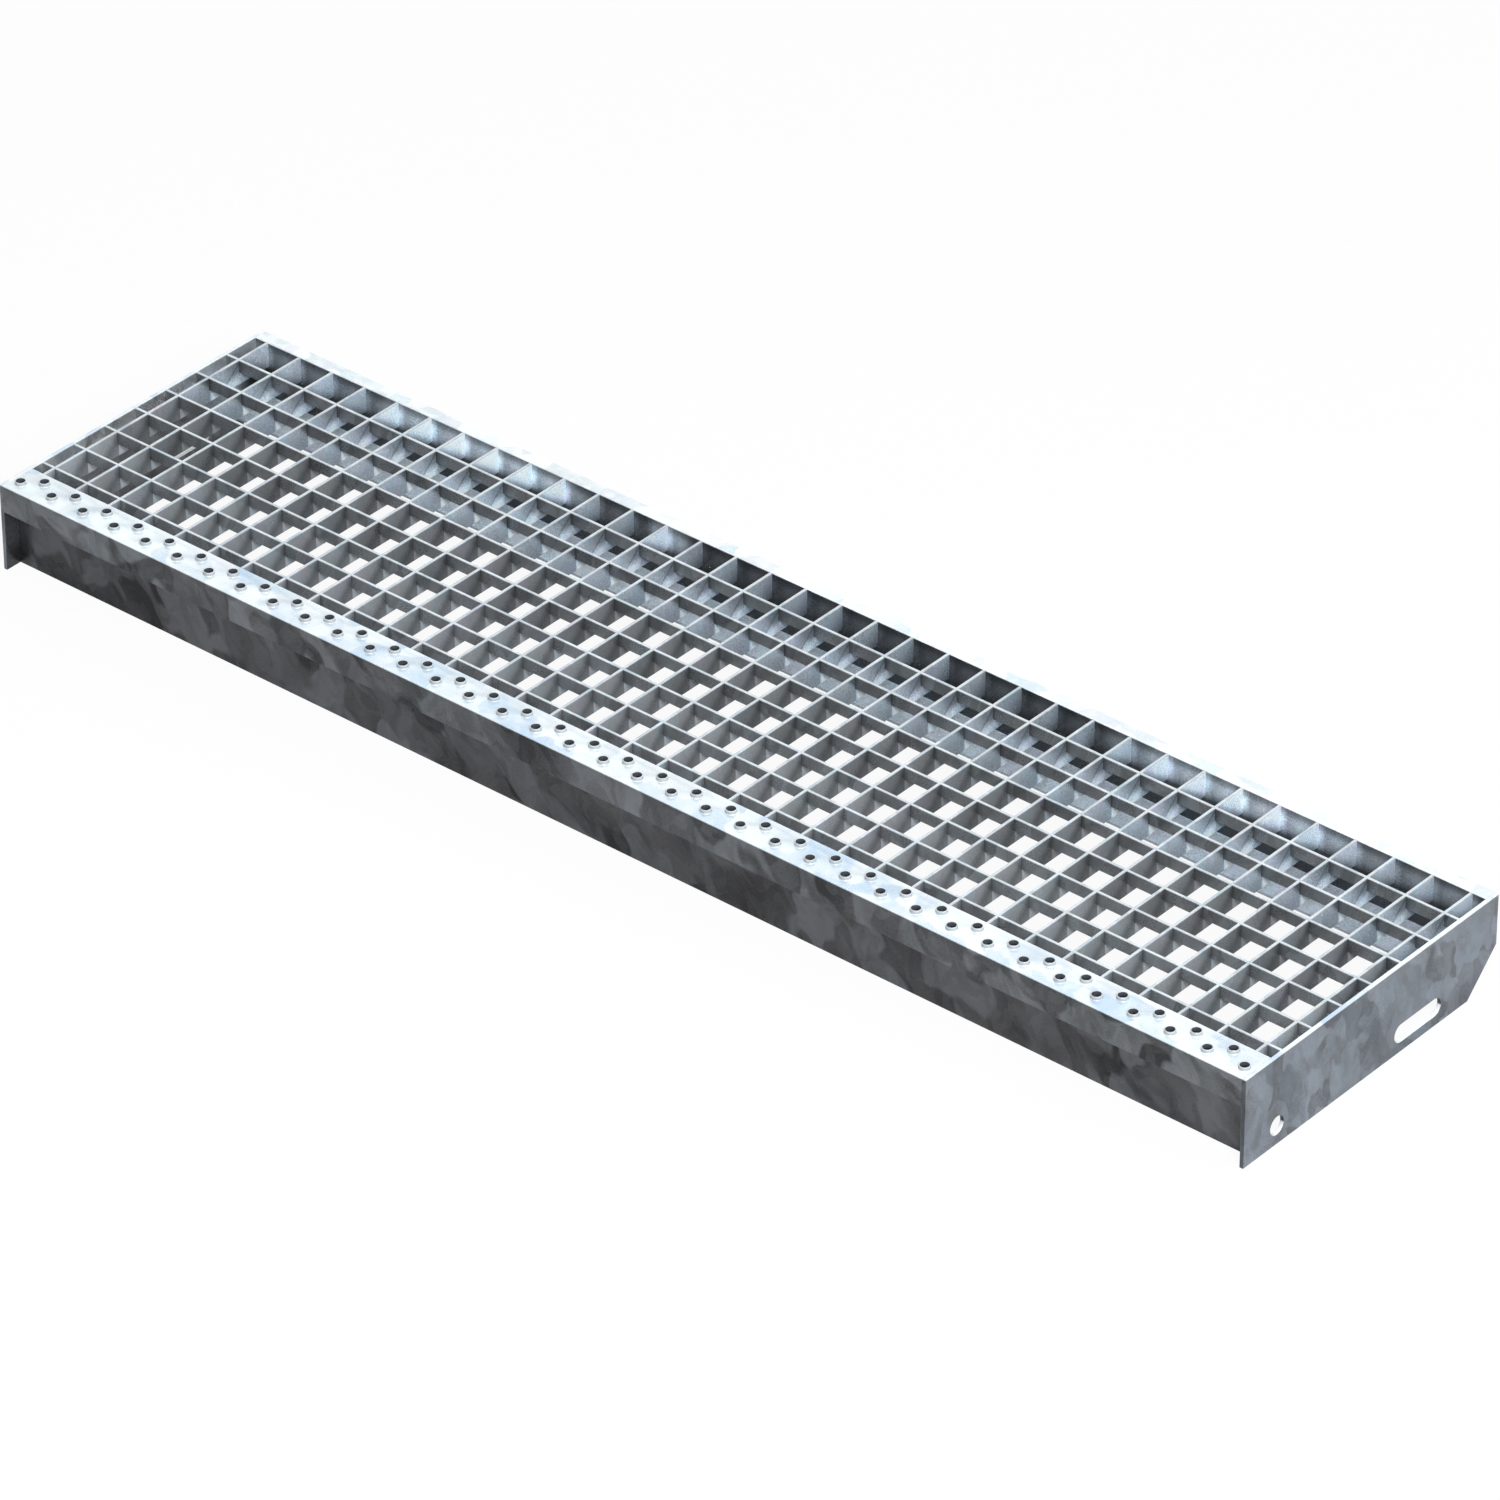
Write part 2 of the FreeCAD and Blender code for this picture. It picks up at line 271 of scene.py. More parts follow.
def zinc(name, colour, patch, stretch, lean, contrast, tint, roughness, metal, top=None, patina=BLUE_PATINA,
         shade=None, holes=False, cut=None, shift=(0.0, 0.0, 0.0)):
    """Hot-dip zinc. top colours the upper edge with painted light, shade gives painted light and shade by
    place, cut marks hole walls.
    """
    material = bpy.data.materials.new(name)
    material.use_nodes = True
    n = Nodes(material.node_tree)
    shader = material.node_tree.nodes["Principled BSDF"]
    coordinates = n.add("ShaderNodeTexCoord").outputs["Object"]
    grainy, smooth, shard, grain = spangle(n, coordinates, patch, stretch, lean, shift)
    split = n.add("ShaderNodeSeparateXYZ")
    n.join(coordinates, split.inputs["Vector"])
    place = split.outputs

    def tones(level, plain, amount, darkening):
        dark = [c * (1.0 - amount * d) for c, d in zip(plain, darkening)]
        light = [c * (1.0 + amount) * cast for c, cast in zip(plain, LIGHT_CAST)]
        return n.ramp(level, [(TONE_DARK, dark), (TONE_PLAIN, plain), (TONE_LIGHT, light)])

    metallic = metal
    shown = tones(grainy, colour, contrast, EVEN)
    if shade:
        shown = n.times(shown, shade(n, place, grain))
    # Painted light on the upper edge, which faces the lamps
    if top:
        lit_top = n.span(place["Z"], TREAD_TOP - LIT_TOP_START, TREAD_TOP - LIT_TOP_FULL)
        metallic = n.math("ADD", n.math("MULTIPLY", lit_top, min(metal, LIT_TOP_METAL) - metal), metal)
        shown = n.mix(lit_top, shown, tones(smooth, top, LIT_TOP_CONTRAST, patina))
    # Painted shade and light on the raised holes' walls, and painted shade inside them
    if holes:
        wall = n.ramp(n.span(place["Z"], TREAD_TOP + COLLAR_FOOT, TREAD_TOP + COLLAR_RISE), COLLAR_WALL_SHADING)
        shown = n.mix(n.span(place["Z"], *(TREAD_TOP + up for up in COLLAR_FADE)), shown, wall)
        inside = n.add("ShaderNodeAttribute", attribute_name="hole").outputs["Fac"]
        shown = n.mix(inside, shown, HOLE_SHADE)
    # Painted light and shade on the bolt holes' walls, where the zinc is not metallic
    if cut:
        walls = cut(n, place)
        height = n.span(place["Z"], BOLT_HEIGHT - BOLT_RADIUS, BOLT_HEIGHT + BOLT_RADIUS)
        shown = n.mix(walls, shown, n.ramp(height, BOLT_WALL_SHADING))
        metallic = n.math("MULTIPLY", n.math("SUBTRACT", 1.0, walls), metallic)
    cast = n.ramp(shard["Green"], SHARD_CAST)
    n.join(n.blend("MULTIPLY", tint, shown, cast, clamped=True), shader.inputs["Base Color"])
    n.feed(shader.inputs["Metallic"], metallic)

    # Roughness follows the shards and the grain, and the raised holes are duller than the sheet around them
    spread = n.math("MULTIPLY", n.math("SUBTRACT", shard["Blue"], 0.5), SHARD_ROUGHNESS)
    fine = n.math("MULTIPLY", n.math("SUBTRACT", grain, 0.5), FINE_ROUGHNESS)
    level = n.math("ADD", n.math("ADD", spread, fine), roughness)
    if holes:
        raised = n.span(place["Z"], *(TREAD_TOP + up for up in COLLAR_DULL))
        level = n.math("ADD", level, n.math("MULTIPLY", raised, COLLAR_ROUGHNESS))
    n.join(level, shader.inputs["Roughness"])

    # A slow unevenness of the zinc and its grain, as relief
    slow = n.noise(coordinates, RELIEF_SCALE)["Fac"]
    bump = n.add("ShaderNodeBump")
    bump.inputs["Strength"].default_value = RELIEF_STRENGTH
    bump.inputs["Distance"].default_value = RELIEF_DEPTH
    n.join(n.math("ADD", slow, n.math("MULTIPLY", grain, RELIEF_GRAIN)), bump.inputs["Height"])
    n.join(bump.outputs["Normal"], shader.inputs["Normal"])
    return material


# Tones that several pieces share: stretches of painted light along the rear, and grain
REAR_STRETCHES = ((-550, 0.35), (-430, 0.30), (-405, 0.95), (-255, 1.0), (-230, 0.15), (-175, 0.05),
                  (-165, 0.75), (-145, 0.75), (-135, 0.0), (225, 0.0), (250, 0.35), (290, 0.85),
                  (400, 0.85), (460, 0.30), (550, 0.30))
SPECKLE = ((0.35, 0.80), (0.65, 1.16))


def along_rear(n, place):
    """Near 1 along the rear plate's stretches of painted light, 0 half-way along and low at the ends."""
    return n.tone(place["X"], REAR_STRETCHES)


def speckle(n, grain):
    """The fine crystals of the zinc's grain, where the painted light is bright."""
    return n.tone(grain, SPECKLE, 1.0)


def slanted(n, place, across, up, start):
    """A distance that grows across the tread and upwards: across * Y + up * Z - start."""
    level = n.math("ADD", n.math("MULTIPLY", place["Y"], across), n.math("MULTIPLY", place["Z"], up))
    return n.math("SUBTRACT", level, start)


def along_cell(n, place):
    """0 to 1 from one bearing bar to the next."""
    return n.math("FRACT", n.math("DIVIDE", place["X"], BAR_PITCH), 0.0)


def to_crossing(n, place):
    """How far a point lies in front of the next cross bar's middle."""
    cell = n.math("FRACT", n.math("DIVIDE", n.math("ADD", place["Y"], -CROSS_BAR_START), BAR_PITCH), 0.0)
    return n.math("SUBTRACT", BAR_PITCH, n.math("MULTIPLY", cell, BAR_PITCH))


# Bearing bars, with painted light and shade. Rows are counted along a slant that runs SLANT_FALL times as far
# back as down.
# Each edge is its middle and its width.
SLANT_FALL = 1.13
OPEN_ROWS_EDGE = (33, 1)
CROSS_BAR_6_EDGE, CROSS_BAR_7_EDGE = (63.5, 2), (95, 1)
OPEN_ROWS = ((-118, 0.42), (-96, 0.40), (-94, 0.315), (-32, 0.315), (-30, 0.175), (0, 0.175), (2, 0.235),
             (33, 0.235))
OUTER_BARS = ((515, 1.0), (534, 1.3))
BAND_RISE = 0.8
BAND = ((-20, 0.65), (-12, 0.56), (-7, 0.44), (-3, 0.62), (1, 0.88), (8, 1.0), (16, 1.12))
NOOK = ((-18, 1.15), (-12.5, 1.0), (-10, 0.82))
NOOK_EDGE = (4.5, -3)
FLANGE_ROWS = ((30, 0.47), (62, 0.47), (66, 0.72), (84, 0.50), (94, 0.50))
FLANGE_ROWS_SHADE = 0.84
CORNER_FALL = 0.9
SMALL_CORNER = ((4, 0.21), (7.5, 0.31), (9.2, 0.66), (11.5, 0.93), (14, 1.0))
LARGE_CORNER = ((5, 0.42), (9, 0.53), (14.7, 0.68), (18, 0.85), (24, 1.0))
FALL = ((52, 0.88), (58, 0.95), (64, 1.10), (67, 1.2))
FOOT_SLANT = (1.0, -0.67, -36.2 * MM)
FOOT = ((75, 1.0), (82, 2.1), (90, 2.5), (97, 2.0))
FOOT_EDGE = (58, -6)
REFLECTED_LINE_SLANT = (-0.85, 1.0, -12.25 * MM)
REFLECTED_LINE = ((0.4, 0.58), (1.6, 1.0))
BRIGHT_SLANT = (0.714, 1.0, 137.4 * MM)
BRIGHT_END = ((-20, 0.36), (-10, 0.18), (-5, 0.10), (-2, 0.18), (0, 0.38), (2, 0.62), (4.5, 1.0), (8, 1.2))
SHADED_SLANT = (0.5, -1.0, -20 * MM)
SHADED_END = ((6, 0.42), (15, 0.36), (20, 0.28), (32, 0.09))
REAR_TINT = (0.93, 1.0, 1.07, 1.0)
PALE_FOOT = ((0, 1.5), (3, 1.7), (7, 2.2))
PALE_FOOT_EDGE = (-0.75, -1.5)


def by_rows(n, place, grain):
    """Bearing bars, painted: shade over the open rows, light over the rear plate's flange, highlights at its
    web.
    """
    ahead = to_crossing(n, place)
    height = n.math("SUBTRACT", place["Z"], TREAD_TOP)
    row = slanted(n, place, 1.0, SLANT_FALL, SLANT_FALL * TREAD_TOP)
    along = along_rear(n, place)

    # Open rows, painted shade: a dark band falls away from the next cross bar, and the upper corner there is
    # darker
    ends = n.tone(n.distance(place["X"]), OUTER_BARS)
    band = n.tone(n.math("ADD", height, n.math("MULTIPLY", ahead, BAND_RISE)), BAND)
    nook = n.mix(n.step(ahead, *NOOK_EDGE), WHITE, n.tone(height, NOOK))
    open_rows = n.times(n.tone(row, OPEN_ROWS), ends, band, nook)

    # Over the flange, painted shade and reflection: a dark upper rear corner, and a bright foot crossed by a
    # fine dark line
    corner = n.math("SUBTRACT", ahead, n.math("MULTIPLY", height, CORNER_FALL))
    small = n.times(n.tone(corner, SMALL_CORNER), n.tone(place["Z"], FALL))
    corner = n.mix(n.step(place["Y"], *CROSS_BAR_6_EDGE), small, n.tone(corner, LARGE_CORNER))
    foot = n.tone(slanted(n, place, *FOOT_SLANT), FOOT)
    foot = n.mix(n.step(place["Z"], *FOOT_EDGE), WHITE, foot)
    reflected_line = n.tone(n.distance(slanted(n, place, *REFLECTED_LINE_SLANT)), REFLECTED_LINE)
    stretch = n.mix(along, grey(FLANGE_ROWS_SHADE), WHITE)
    over_flange = n.times(n.tone(place["Y"], FLANGE_ROWS), corner, n.times(foot, reflected_line), stretch)

    # At the web, painted highlights: bright above a slanting edge where that plate is painted bright
    bright = n.tone(slanted(n, place, *BRIGHT_SLANT), BRIGHT_END)
    dull = n.tone(slanted(n, place, *SHADED_SLANT), SHADED_END)
    at_web = n.mix(along, dull, bright)
    rear = n.mix(n.step(place["Y"], *CROSS_BAR_7_EDGE), over_flange, at_web)
    rear = n.times(rear, REAR_TINT, speckle(n, grain))
    shown = n.mix(n.step(row, *OPEN_ROWS_EDGE), open_rows, rear)

    # Painted light: the foot under and behind each cross bar is paler
    behind = n.math("SUBTRACT", BAR_PITCH, ahead)
    under = n.math("ADD", behind, n.math("MULTIPLY", height, SLANT_FALL))
    return n.mix(n.step(under, *PALE_FOOT_EDGE), shown, n.times(shown, n.tone(behind, PALE_FOOT)))


# Cross bars, from the front to the rear and from one bearing bar to the next
CROSS_BARS = ((-95, 0.54), (-62, 0.56), (-31, 0.49), (0.5, 0.41), (32, 0.34), (64, 0.28), (95, 0.29))
BESIDE_BAR = ((0.04, 0.55), (0.09, 0.78), (0.16, 1.0))


def by_crossing(n, place, grain):
    """Cross bars, painted light and shade: the front ones are lighter than the rest, and each is darker
    beside a bearing bar.
    """
    return n.times(n.tone(place["Y"], CROSS_BARS), n.tone(along_cell(n, place), BESIDE_BAR, 1.0))


# Front plate: its tone through the sheet, just before the hidden side
FRONT_PLATE_FACES = ((-118.7, 1.0), (-118.6, 4.0))


def by_front(n, place, grain):
    """Front plate: the dark outside is painted shade, and the hidden side is lighter, painted light."""
    return n.tone(place["Y"], FRONT_PLATE_FACES)


# End plates
END_INSIDE = ((0, 0.8), (10, 1.15), (45, 1.2), (58, 5.2))
END_OVER_FLANGE = ((58, 1.0), (80, 3.6), (100, 4.2), (110, 2.5), (118, 0.8))
END_OVER_FLANGE_HEIGHT = ((23, 0.0), (25, 1.0), (44, 1.0), (48, 0.0))
END_BEFORE = ((0, 0.35), (12, 0.6), (20, 1.3))
END_INSIDE_TINT = (1.08, 1.0, 0.92, 1.0)
END_FRONT_EDGE = ((-134.8, 0.45), (-134.6, 1.0))
FRONT_PLATE_MIDDLE, FRONT_PLATE_THICKNESS = -120, 3
END_INNER_FACE = (547.2, 0.2)
RIGHT_HALF = (0, 200)


def by_end(n, place, grain):
    """End plates, painted light and shade: the outside keeps its colour; inside bright along the bars and
    over the rear flange, dark in front.
    """
    flange = n.tone(place["Y"], END_OVER_FLANGE)
    flange = n.mix(n.tone(place["Z"], END_OVER_FLANGE_HEIGHT), WHITE, flange)
    inside = n.times(n.tone(place["Z"], END_INSIDE), flange)
    behind_front = n.step(place["Y"], FRONT_PLATE_MIDDLE, FRONT_PLATE_THICKNESS)
    inside = n.mix(behind_front, n.tone(place["Z"], END_BEFORE), inside)
    inside = n.times(inside, END_INSIDE_TINT)
    # Painted shade: the right plate's front edge is as dark as the front plate
    outside = n.mix(n.step(place["X"], *RIGHT_HALF), WHITE, n.tone(place["Y"], END_FRONT_EDGE))
    return n.mix(n.step(n.distance(place["X"]), *END_INNER_FACE), inside, outside)


def bolt_walls(n, place):
    """1 on the walls of the end plates' bolt holes, 0 elsewhere."""
    height = n.math("SUBTRACT", place["Z"], BOLT_HEIGHT)
    squares = []
    for middle, half in ((BOLT_HOLE, 0.0), (BOLT_SLOT, BOLT_SLOT_REACH)):
        along = n.math("SUBTRACT", n.distance(n.math("SUBTRACT", place["Y"], middle)), half)
        along = n.math("MAXIMUM", along, 0.0)
        squares.append(n.math("ADD", n.math("MULTIPLY", along, along), n.math("MULTIPLY", height, height)))
    reach = n.math("SQRT", n.math("MINIMUM", *squares), 0.0)
    return n.span(reach, *(BOLT_RADIUS + edge for edge in BOLT_WALL_EDGE))


# Rear plate: painted light and shade from one bearing bar to the next, and up the web
WEB_CELL = ((0.0, 1.0), (0.09, 1.0), (0.21, 0.54), (0.28, 0.56), (0.60, 0.80), (0.95, 0.72))
WEB_HEIGHT = ((42, 0.06), (47.5, 0.06), (50.5, 0.37), (53.5, 0.75), (56.5, 0.95), (59.5, 1.1), (62.5, 1.0),
              (65.5, 0.55), (68, 0.36))
WEB_SHADE, WEB_LOW, WEB_BACK = 0.10, 0.05, 0.36
WEB_LOW_EDGE = (39, 6)
FLANGE_CELL = ((0.08, 1.08), (0.30, 1.0), (0.50, 0.88), (0.75, 0.76))
FLANGE_TOP = (25.4, 0.4)
WEB_FRONT_FACE = (125.7, 0.6)


def by_fold(n, place, grain):
    """Rear plate, painted light and shade: a pale lower flange, a web that is brightest beside each bar and
    dark low down, and a plain back.
    """
    cell = along_cell(n, place)
    web = n.times(n.tone(cell, WEB_CELL, 1.0), n.tone(place["Z"], WEB_HEIGHT))
    web = n.times(web, n.mix(along_rear(n, place), grey(WEB_SHADE), WHITE))
    web = n.mix(n.step(place["Z"], *WEB_LOW_EDGE), grey(WEB_LOW), web)
    inside = n.mix(n.step(place["Z"], *FLANGE_TOP), n.tone(cell, FLANGE_CELL, 1.0), web)
    inside = n.times(inside, speckle(n, grain))
    return n.mix(n.step(place["Y"], *WEB_FRONT_FACE), inside, grey(WEB_BACK))


def circle(bm, x, y, z, radius):
    """A ring of vertices around an upright axis."""
    ring = []
    for step in range(COLLAR_SIDES):
        turn = 2 * math.pi * step / COLLAR_SIDES
        ring.append(bm.verts.new((x + radius * math.cos(turn), y + radius * math.sin(turn), z)))
    return ring


def skin(bm, near, far, closed=True):
    """Quads between two equally long rows of vertices."""
    count = len(near)
    for i in range(count if closed else count - 1):
        j = (i + 1) % count
        bm.faces.new((near[i], near[j], far[j], far[i]))


def collar_profile(top, under):
    """Radius and height from the flange's upper face, up over the rim and down through the hole."""
    rim = top + COLLAR_RISE
    half_wall = (COLLAR_RADIUS - HOLE_RADIUS) / 2
    wall = (COLLAR_RADIUS + HOLE_RADIUS) / 2
    flare = FLARE_RADIUS - COLLAR_RADIUS
    points = []
    for step in range(FLARE_STEPS + 1):
        turn = math.pi / 2 * step / FLARE_STEPS
        lift = flare * (1 - math.cos(turn)) * FLARE_LIFT
        points.append((FLARE_RADIUS - flare * math.sin(turn), top + lift))
    for step in range(RIM_STEPS + 1):
        turn = math.pi * step / RIM_STEPS
        points.append((wall + half_wall * math.cos(turn), rim - half_wall + half_wall * math.sin(turn)))
    points.append((HOLE_RADIUS, top - LIP_START))
    for step in range(1, LIP_STEPS + 1):
        turn = math.pi / 2 * step / LIP_STEPS
        out, up = LIP_RADIUS * (1 - math.cos(turn)), LIP_RADIUS * (1 - math.sin(turn))
        points.append((HOLE_RADIUS + out, under + up))
    return points


def fill(bm, loops):
    """Faces between an outline and the rings inside it, all in one plane."""
    edges = []
    for loop in loops:
        for i, vertex in enumerate(loop):
            pair = (vertex, loop[(i + 1) % len(loop)])
            edges.append(bm.edges.get(pair) or bm.edges.new(pair))
    bmesh.ops.triangle_fill(bm, use_beauty=True, edges=edges)


def nosing_section(low, high):
    """The angle's outline in Y and Z, from the front flange's inner foot round the front to the top."""
    soft = EDGE_SOFTENING
    front, foot, top = low.y, low.z, high.z - COLLAR_RISE
    outline = [(front + NOSING_THICKNESS, foot + soft), (front + NOSING_THICKNESS - soft, foot)]
    outline += [(front + soft, foot), (front, foot + soft)]
    for step in range(NOSING_BEND_STEPS + 1):
        turn = math.pi / 2 * step / NOSING_BEND_STEPS
        outline.append((front + NOSING_BEND * (1 - math.cos(turn)), top - NOSING_BEND * (1 - math.sin(turn))))
    return outline


def make_nosing():
    """The nosing with round, flared raised holes in place of the plain solid."""
    low, high = (Vector(corner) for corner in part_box("nosing"))
    top = high.z - COLLAR_RISE
    under = top - NOSING_THICKNESS
    soft = EDGE_SOFTENING
    bm = bmesh.new()
    hole = bm.verts.layers.float.new("hole")
    outline = nosing_section(low, high)
    left, right = ([bm.verts.new((x, y, z)) for y, z in outline] for x in (low.x, high.x))
    skin(bm, left, right, closed=False)

    # The rear edge of the top, and the line inside the angle
    rear = ((high.y - soft, top), (high.y, top - soft), (high.y, under + soft), (high.y - soft, under))
    inner = (low.y + NOSING_THICKNESS, under)
    back = [[bm.verts.new((x, y, z)) for x in (low.x, high.x)] for y, z in (*rear, inner)]
    top_rear, under_rear, under_inner = back[0], back[3], back[4]
    for near, far in zip(back[:3], back[1:4]):
        bm.faces.new((near[0], near[1], far[1], far[0]))
    bm.faces.new((under_inner[0], under_inner[1], right[0], left[0]))

    # Raised holes, whose first and last rings are openings in the upper and lower face
    upper_loops = [[left[-1], right[-1], top_rear[1], top_rear[0]]]
    lower_loops = [[under_rear[0], under_rear[1], under_inner[1], under_inner[0]]]
    profile = collar_profile(top, under)
    inside_from = FLARE_STEPS + 1 + RIM_STEPS
    for first, setback, count in (FRONT_ROW, REAR_ROW):
        for i in range(count):
            x = low.x + first + i * COLLAR_PITCH
            y = low.y + setback
            rings = [circle(bm, x, y, z, radius) for radius, z in profile]
            for near, far in zip(rings, rings[1:]):
                skin(bm, near, far)
            for vertex in (v for ring in rings[inside_from:] for v in ring):
                vertex[hole] = 1.0
            upper_loops.append(rings[0])
            lower_loops.append(rings[-1])
    fill(bm, upper_loops)
    fill(bm, lower_loops)

    # Close both ends
    for side, section in ((0, left), (1, right)):
        bm.faces.new(section + [edge[side] for edge in back])
    bmesh.ops.recalc_face_normals(bm, faces=bm.faces)
    mesh = bpy.data.meshes.new("nosing_angle")
    bm.to_mesh(mesh)
    bm.free()
    piece = link(bpy.data.objects.new("nosing_angle", mesh))
    mesh.polygons.foreach_set("use_smooth", [True] * len(mesh.polygons))
    mesh.set_sharp_from_angle(angle=math.radians(NOSING_SHARP_ANGLE))
    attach(piece, "root")
    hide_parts("nosing")
    return piece


def dress(node, material):
    """Gives a CAD node its material, with slightly softened edges."""
    slots = node.material_slots
    if slots:
        for slot in slots:
            slot.link = "OBJECT"
            slot.material = material
    else:
        node.data.materials.append(material)
    weld = node.modifiers.new("joined faces", "WELD")
    weld.merge_threshold = SAME_POINT
    soft = node.modifiers.new("soft edges", "BEVEL")
    soft.width = EDGE_SOFTENING
    soft.segments = 2
    soft.limit_method = "ANGLE"
    soft.angle_limit = math.radians(SOFT_EDGE_ANGLE)


# The zinc of each kind of piece. The front plate's patches go on from those of the nosing in front of it.
# Colours of the upper edges, painted light
LIT_TOP = (0.665, 0.722, 0.748)
LIT_TOP_ENDS = (0.69, 0.74, 0.76)
LIT_TOP_REAR = (0.82, 0.86, 0.87)
LIT_TOP_BARS = (0.56, 0.60, 0.615)
BAR_PATINA = (1.5, 1.1, 0.7)
REAR_PATINA = (1.3, 1.0, 0.8)
LONG_PATCHES = (1.0, 1.0, 1.9)
FRONT_PATCHES = dict(patch=24 * MM, stretch=(1.0, 1.0, 1.45), lean=(0, -32, 0), contrast=0.70, tint=0.3)
FRONT_SETBACK = 13.5 * MM
end_zinc = zinc("end_plate_zinc_look", colour=(0.172, 0.190, 0.212), patch=14 * MM, stretch=(1.0, 1.0, 1.5),
                lean=(18, 0, 0), contrast=0.40, tint=0.7, roughness=0.32, metal=0.9, top=LIT_TOP_ENDS,
                shade=by_end, cut=bolt_walls)
# The nosing's and the front plate's dark colours are painted shade on faces that look forward
nosing_zinc = zinc("nosing_zinc_look", colour=(0.112, 0.118, 0.125), **FRONT_PATCHES, roughness=0.30,
                   metal=0.9, top=LIT_TOP, holes=True)
front_zinc = zinc("front_plate_zinc_look", colour=(0.080, 0.081, 0.086), **FRONT_PATCHES, roughness=0.35,
                  metal=0.9, shade=by_front, shift=(0.0, FRONT_SETBACK, 0.0))
rear_zinc = zinc("rear_plate_zinc_look", colour=(0.78, 0.87, 0.96), patch=16 * MM, stretch=LONG_PATCHES,
                 lean=(0, -20, 0), contrast=0.16, tint=1.0, roughness=0.30, metal=0.1, top=LIT_TOP_REAR,
                 patina=REAR_PATINA, shade=by_fold)
bearing_zinc = zinc("bearing_bar_zinc_look", colour=(0.84, 0.90, 0.95), patch=12 * MM, stretch=LONG_PATCHES,
                    lean=(20, 0, 0), contrast=0.11, tint=1.0, roughness=0.25, metal=0.1, top=LIT_TOP_BARS,
                    patina=BAR_PATINA, shade=by_rows)
cross_zinc = zinc("cross_bar_zinc_look", colour=(0.60, 0.635, 0.66), patch=12 * MM, stretch=LONG_PATCHES,
                  lean=(0, 20, 0), contrast=0.30, tint=0.6, roughness=0.28, metal=0.5, top=LIT_TOP_BARS,
                  patina=BAR_PATINA, shade=by_crossing)

for node_name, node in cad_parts.items():
    if node_name.startswith("bearing_bar"):
        dress(node, bearing_zinc)
    elif node_name.startswith("cross_bar"):
        dress(node, cross_zinc)
    elif node_name.endswith("end_plate"):
        dress(node, end_zinc)
    elif node_name == "front_plate":
        dress(node, front_zinc)
    elif node_name == "rear_plate":
        dress(node, rear_zinc)
make_nosing().data.materials.append(nosing_zinc)

# Studio: a white floor and world as the camera and the metal see them, both dim as light
FLOOR_HALF = 9.0
FLOOR_DULL, FLOOR_SHOWN = 0.20, 0.66
GLOW_SHOWN, GLOW_STRAIGHT = 0.1, 0.82
WORLD_DIM, WORLD_SHOWN = 0.10, 0.9


def shown_rays(n):
    """1 for camera, glossy and transmission rays, 0 for light bounced off dull surfaces."""
    path = n.add("ShaderNodeLightPath").outputs
    seen = n.math("MAXIMUM", path["Is Camera Ray"], path["Is Glossy Ray"])
    return n.math("MAXIMUM", seen, path["Is Transmission Ray"])


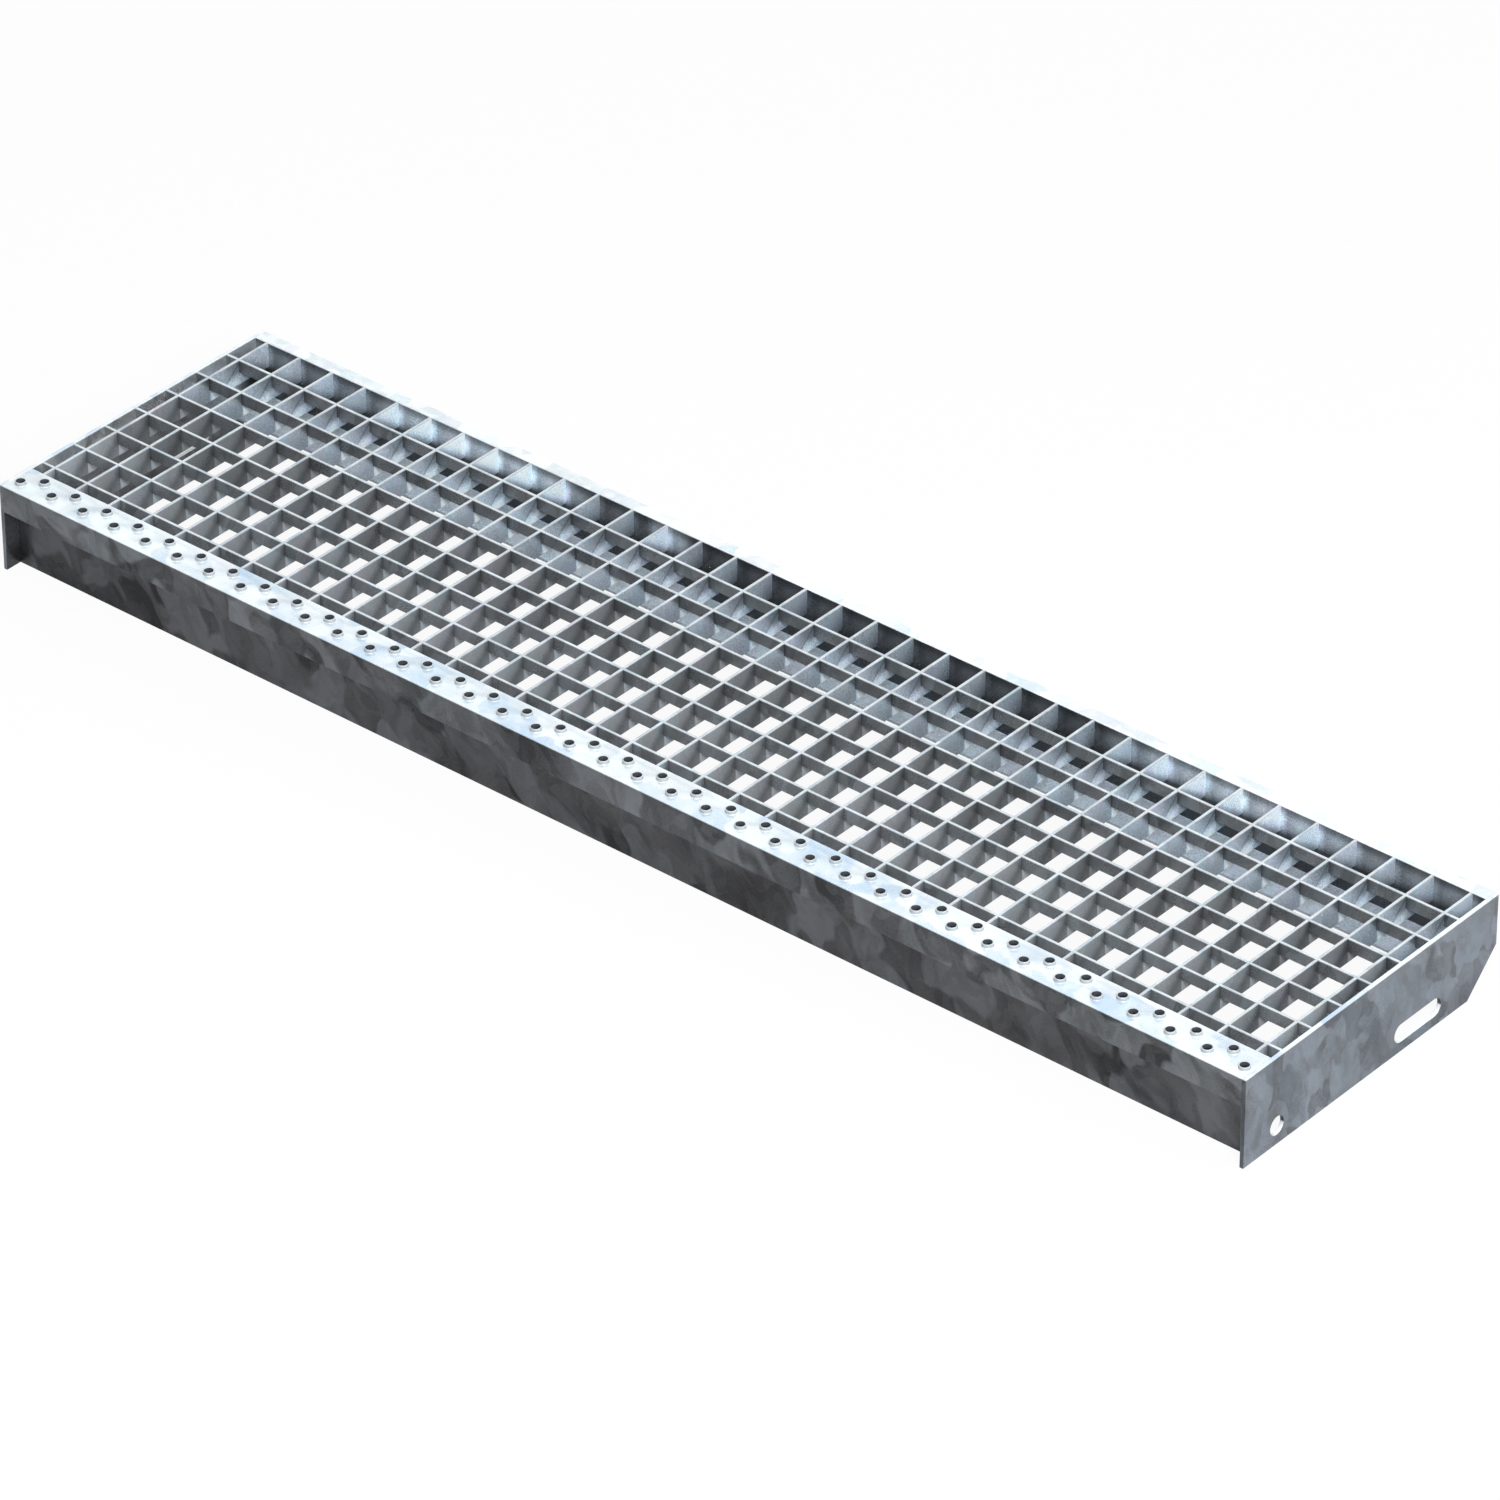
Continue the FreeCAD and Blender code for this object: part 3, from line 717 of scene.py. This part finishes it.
def make_floor():
    """A plain white floor that keeps the object's shadow."""
    mesh = bpy.data.meshes.new("floor")
    half = FLOOR_HALF
    corners = [(-half, -half, 0), (half, -half, 0), (half, half, 0), (-half, half, 0)]
    mesh.from_pydata(corners, [], [(0, 1, 2, 3)])
    floor = link(bpy.data.objects.new("floor", mesh))
    material = bpy.data.materials.new("floor_white")
    material.use_nodes = True
    n = Nodes(material.node_tree)
    material.node_tree.nodes.remove(material.node_tree.nodes["Principled BSDF"])
    output = material.node_tree.nodes["Material Output"]
    shown = shown_rays(n)
    straight = n.add("ShaderNodeLightPath").outputs["Is Camera Ray"]
    albedo = n.math("ADD", n.math("MULTIPLY", shown, FLOOR_SHOWN), FLOOR_DULL)
    pale = n.add("ShaderNodeCombineColor")
    for socket in pale.inputs:
        n.join(albedo, socket)
    dull = n.add("ShaderNodeBsdfDiffuse")
    n.join(pale.outputs[0], dull.inputs["Color"])
    glow = n.add("ShaderNodeEmission")
    glow.inputs["Strength"].default_value = 1.0
    share = n.math("ADD", n.math("MULTIPLY", shown, GLOW_SHOWN), n.math("MULTIPLY", straight, GLOW_STRAIGHT))
    blend = n.add("ShaderNodeMixShader")
    n.join(share, blend.inputs["Fac"])
    n.join(dull.outputs[0], blend.inputs[1])
    n.join(glow.outputs[0], blend.inputs[2])
    n.join(blend.outputs[0], output.inputs["Surface"])
    mesh.materials.append(material)


def make_world():
    """White where it is seen or mirrored, and dim as light."""
    world = bpy.data.worlds.new("studio")
    bpy.context.scene.world = world
    world.use_nodes = True
    n = Nodes(world.node_tree)
    background = world.node_tree.nodes["Background"]
    background.inputs["Color"].default_value = WHITE
    strength = n.math("ADD", n.math("MULTIPLY", shown_rays(n), WORLD_SHOWN), WORLD_DIM)
    n.join(strength, background.inputs["Strength"])


def lamp(name, place, target, size, power):
    """A square area lamp that the camera doesn't see."""
    data = bpy.data.lights.new(name, "AREA")
    data.shape = "RECTANGLE"
    data.size = data.size_y = size
    data.energy = power
    item = link(bpy.data.objects.new(name, data))
    item.location = place
    item.rotation_euler = (Vector(target) - Vector(place)).to_track_quat("-Z", "Y").to_euler()
    item.visible_camera = False


def make_camera():
    data = bpy.data.cameras.new("camera")
    data.lens = CAMERA_LENS
    data.sensor_width = CAMERA_SENSOR
    data.clip_end = CAMERA_REACH
    camera = link(bpy.data.objects.new("camera", data))
    camera.location = CAMERA_PLACE
    camera.rotation_euler = [math.radians(a) for a in CAMERA_TURN]
    bpy.context.scene.camera = camera


make_floor()
make_world()
lamp("top_softbox", place=(-0.9, 0.9, 2.6), target=(-0.9, 0.9, 0.0), size=6.0, power=76.0)
lamp("right_fill", place=(3.0, 1.2, 0.9), target=(0.4, 0.0, 0.03), size=1.5, power=20.0)
lamp("front_fill", place=(3.1, -2.4, 3.4), target=(0.0, 0.0, 0.05), size=1.8, power=260.0)
make_camera()
bpy.context.scene.view_settings.view_transform = "Standard"
